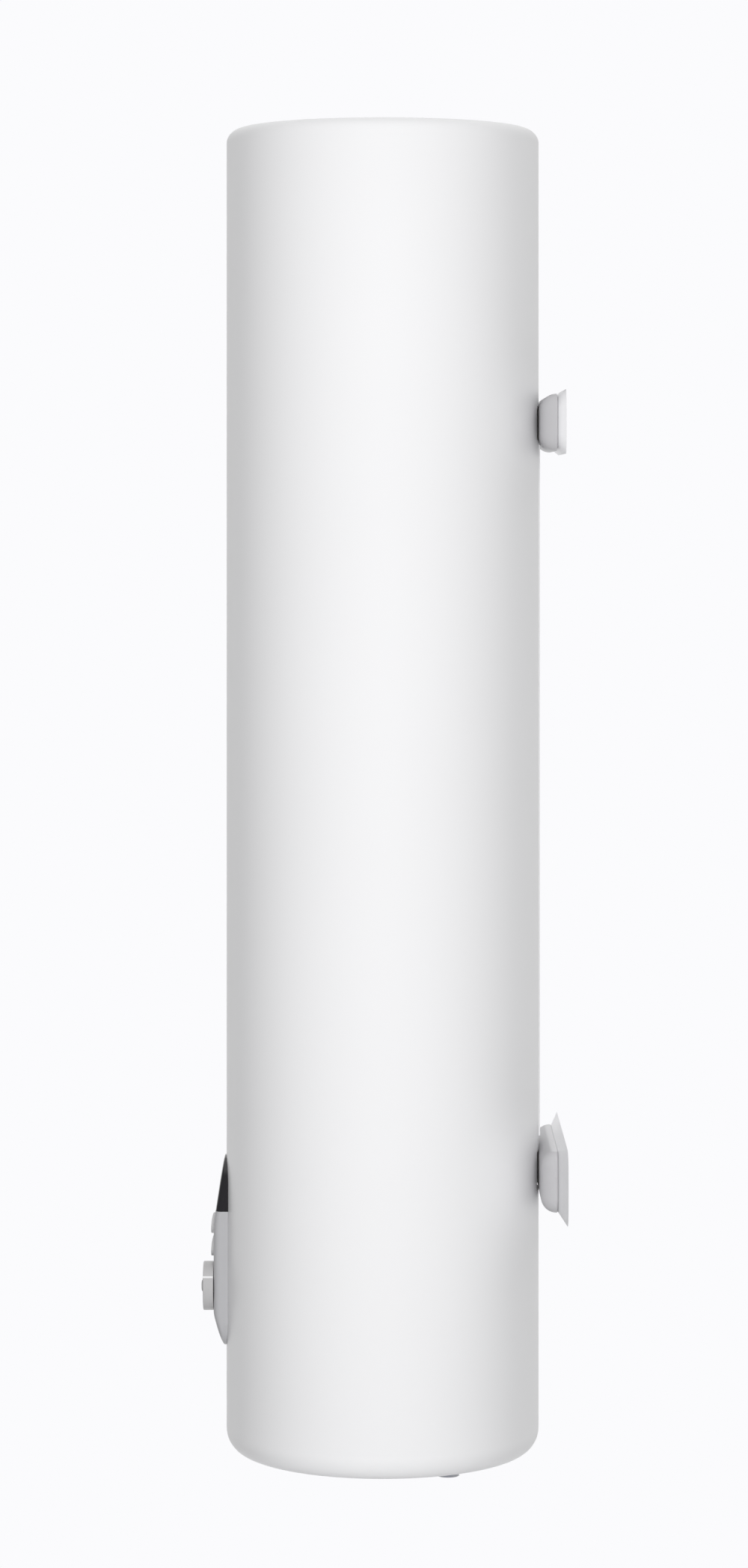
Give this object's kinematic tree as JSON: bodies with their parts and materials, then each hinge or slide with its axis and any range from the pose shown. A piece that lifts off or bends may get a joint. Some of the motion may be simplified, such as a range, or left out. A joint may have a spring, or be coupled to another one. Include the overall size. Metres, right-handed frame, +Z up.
{
  "type": "tank water heater",
  "caption": "Slim upright cylindrical tank water heater with wall brackets at the back and a narrow control panel with buttons and a knob low on the front.",
  "frame": {"origin": "centre of the upper hook plate's wall face, where the heater meets the wall", "axes": "+Z up along the tank, +Y out of the back into the wall, -Y the front with the control panel, +X to the right of someone facing the front"},
  "size_m": [0.29, 0.3355, 1.2405],
  "materials": {
    "white_enamel": "smooth glossy white baked enamel",
    "white_plastic": "smooth white moulded plastic, satin gloss",
    "white_bracket_paint": "white powder coat, satin",
    "light_grey_plastic": "light grey moulded plastic, semi-gloss",
    "dark_window_plastic": "polished smoked window plastic",
    "stainless_steel": "rolled stainless sheet and tube",
    "zinc_plated_steel": "bright zinc plate",
    "magnesium": "dull cast magnesium",
    "insulation_foam": "rigid polyurethane foam, matte",
    "black_rubber": "matte moulded rubber",
    "circuit_board": "green solder mask",
    "dark_plastic": "fine-textured dark plastic",
    "blue_plastic": "blue moulded plastic, marks the cold side",
    "red_plastic": "red moulded plastic, marks the hot side"
  },
  "bodies": {
    "heater": {"outer_casing": "white_enamel", "top_cover": "white_enamel", "bottom_cover": "white_plastic", "service_cover": "white_plastic", "insulation_jacket": "insulation_foam", "tank_shell": "stainless_steel", "tank_top_dome": "stainless_steel", "tank_bottom_dome": "stainless_steel", "flange_neck": "stainless_steel", "flange_gasket": "black_rubber", "flange_plate": "stainless_steel", "heating_element_a": "stainless_steel", "heating_element_b": "stainless_steel", "sensor_pocket": "stainless_steel", "temperature_sensor": "dark_plastic", "anode_rod": "magnesium", "cold_inlet_stub": "zinc_plated_steel", "hot_outlet_stub": "zinc_plated_steel", "inlet_diffuser": "dark_plastic", "hot_dip_tube": "stainless_steel", "cold_inlet_collar": "blue_plastic", "hot_outlet_collar": "red_plastic", "safety_cutout": "dark_plastic", "power_board": "circuit_board", "power_relay": "dark_plastic", "terminal_block": "light_grey_plastic", "cable_gland": "dark_plastic", "earth_stud": "zinc_plated_steel", "panel_cable": "dark_plastic", "panel_base": "light_grey_plastic", "panel_housing": "light_grey_plastic", "panel_window": "dark_window_plastic", "display_board": "circuit_board", "led_module": "dark_plastic", "switch_upper": "dark_plastic", "switch_lower": "dark_plastic", "rotary_control": "dark_plastic", "upper_bracket": "white_bracket_paint", "lower_bracket": "white_bracket_paint", "upper_hook_plate": "zinc_plated_steel", "lower_hook_plate": "zinc_plated_steel", "upper_bracket_stem": "stainless_steel", "lower_bracket_stem": "stainless_steel", "service_screw_1": "zinc_plated_steel", "service_screw_2": "zinc_plated_steel", "service_screw_3": "zinc_plated_steel", "service_screw_4": "zinc_plated_steel", "flange_bolt_1": "zinc_plated_steel", "flange_bolt_2": "zinc_plated_steel", "flange_bolt_3": "zinc_plated_steel", "flange_bolt_4": "zinc_plated_steel", "flange_bolt_5": "zinc_plated_steel", "flange_bolt_6": "zinc_plated_steel"},
    "knob": {"control_knob": "light_grey_plastic", "control_shaft": "zinc_plated_steel"},
    "upper_button": {"button_upper": "light_grey_plastic"},
    "lower_button": {"button_lower": "light_grey_plastic"}
  },
  "joints": [
    {"name": "knob_turn", "type": "hinge", "parent": "heater", "child": "knob", "pos_m": [0, -0.324, -0.8014], "axis": [0, 1, 0], "range_deg": [-210.3, 89.7]},
    {"name": "upper_button_press", "type": "slide", "parent": "heater", "child": "upper_button", "axis": [0, 1, 0], "range_m": [0, 0.001], "stiffness_N_per_m": 600, "springref_m": -0.001},
    {"name": "lower_button_press", "type": "slide", "parent": "heater", "child": "lower_button", "axis": [0, 1, 0], "range_m": [0, 0.001], "stiffness_N_per_m": 600, "springref_m": -0.001}
  ]
}
